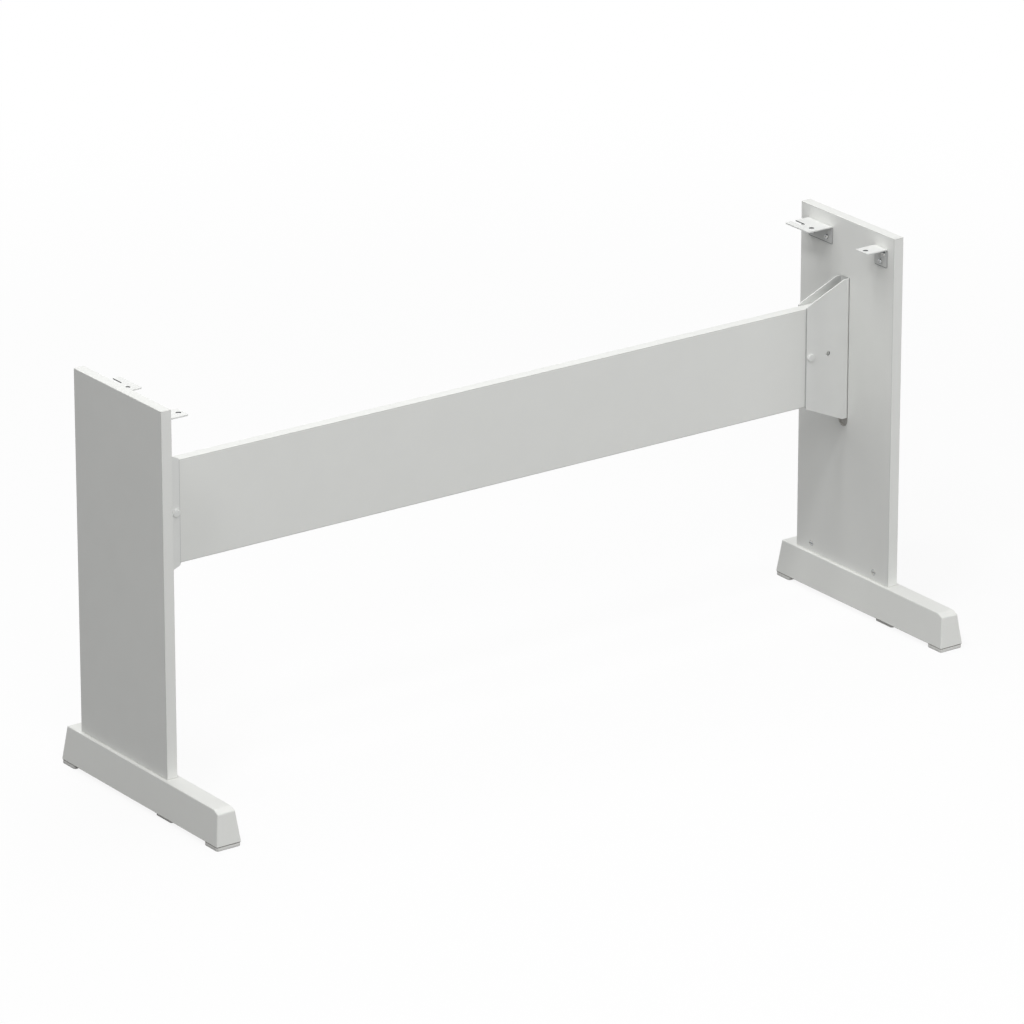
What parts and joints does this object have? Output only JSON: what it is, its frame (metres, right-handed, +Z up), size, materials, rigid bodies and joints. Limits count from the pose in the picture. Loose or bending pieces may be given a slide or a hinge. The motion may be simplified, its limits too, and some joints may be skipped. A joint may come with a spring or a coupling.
{
  "type": "digital piano stand",
  "caption": "Knock-down stand: side panels on tapered feet, a crosspiece held in flared steel gussets, and steel angles inside the panels that carry a slim digital piano.",
  "frame": {"origin": "middle of the footprint, on the floor", "axes": "+X along the width to the player's right, +Y from the player to the rear, +Z up"},
  "size_m": [1.3888, 0.4198, 0.634],
  "materials": {
    "white_laminate": "white melamine laminate on particle board, satin",
    "foot_lacquer": "white lacquer on fibre board, satin",
    "coated_steel": "white powder coat on folded steel",
    "coated_bolt": "white coated steel",
    "zinc_steel": "bright zinc plate",
    "pad_rubber": "white moulded rubber",
    "beech": "plain beech"
  },
  "bodies": {
    "root": {"crosspiece": "white_laminate", "left_barrel_nuts": "zinc_steel", "left_crosspiece_bolt": "coated_bolt", "left_crosspiece_nut": "zinc_steel", "left_dowels": "beech", "left_foot": "foot_lacquer", "left_foot_bolts": "zinc_steel", "left_front_bracket": "coated_steel", "left_front_bracket_screws": "zinc_steel", "left_front_pad": "pad_rubber", "left_gusset": "coated_steel", "left_gusset_screws": "zinc_steel", "left_middle_pad": "pad_rubber", "left_rear_bracket": "coated_steel", "left_rear_bracket_screws": "zinc_steel", "left_rear_pad": "pad_rubber", "left_side_panel": "white_laminate", "right_barrel_nuts": "zinc_steel", "right_crosspiece_bolt": "coated_bolt", "right_crosspiece_nut": "zinc_steel", "right_dowels": "beech", "right_foot": "foot_lacquer", "right_foot_bolts": "zinc_steel", "right_front_bracket": "coated_steel", "right_front_bracket_screws": "zinc_steel", "right_front_pad": "pad_rubber", "right_gusset": "coated_steel", "right_gusset_screws": "zinc_steel", "right_middle_pad": "pad_rubber", "right_rear_bracket": "coated_steel", "right_rear_bracket_screws": "zinc_steel", "right_rear_pad": "pad_rubber", "right_side_panel": "white_laminate"}
  },
  "joints": []
}
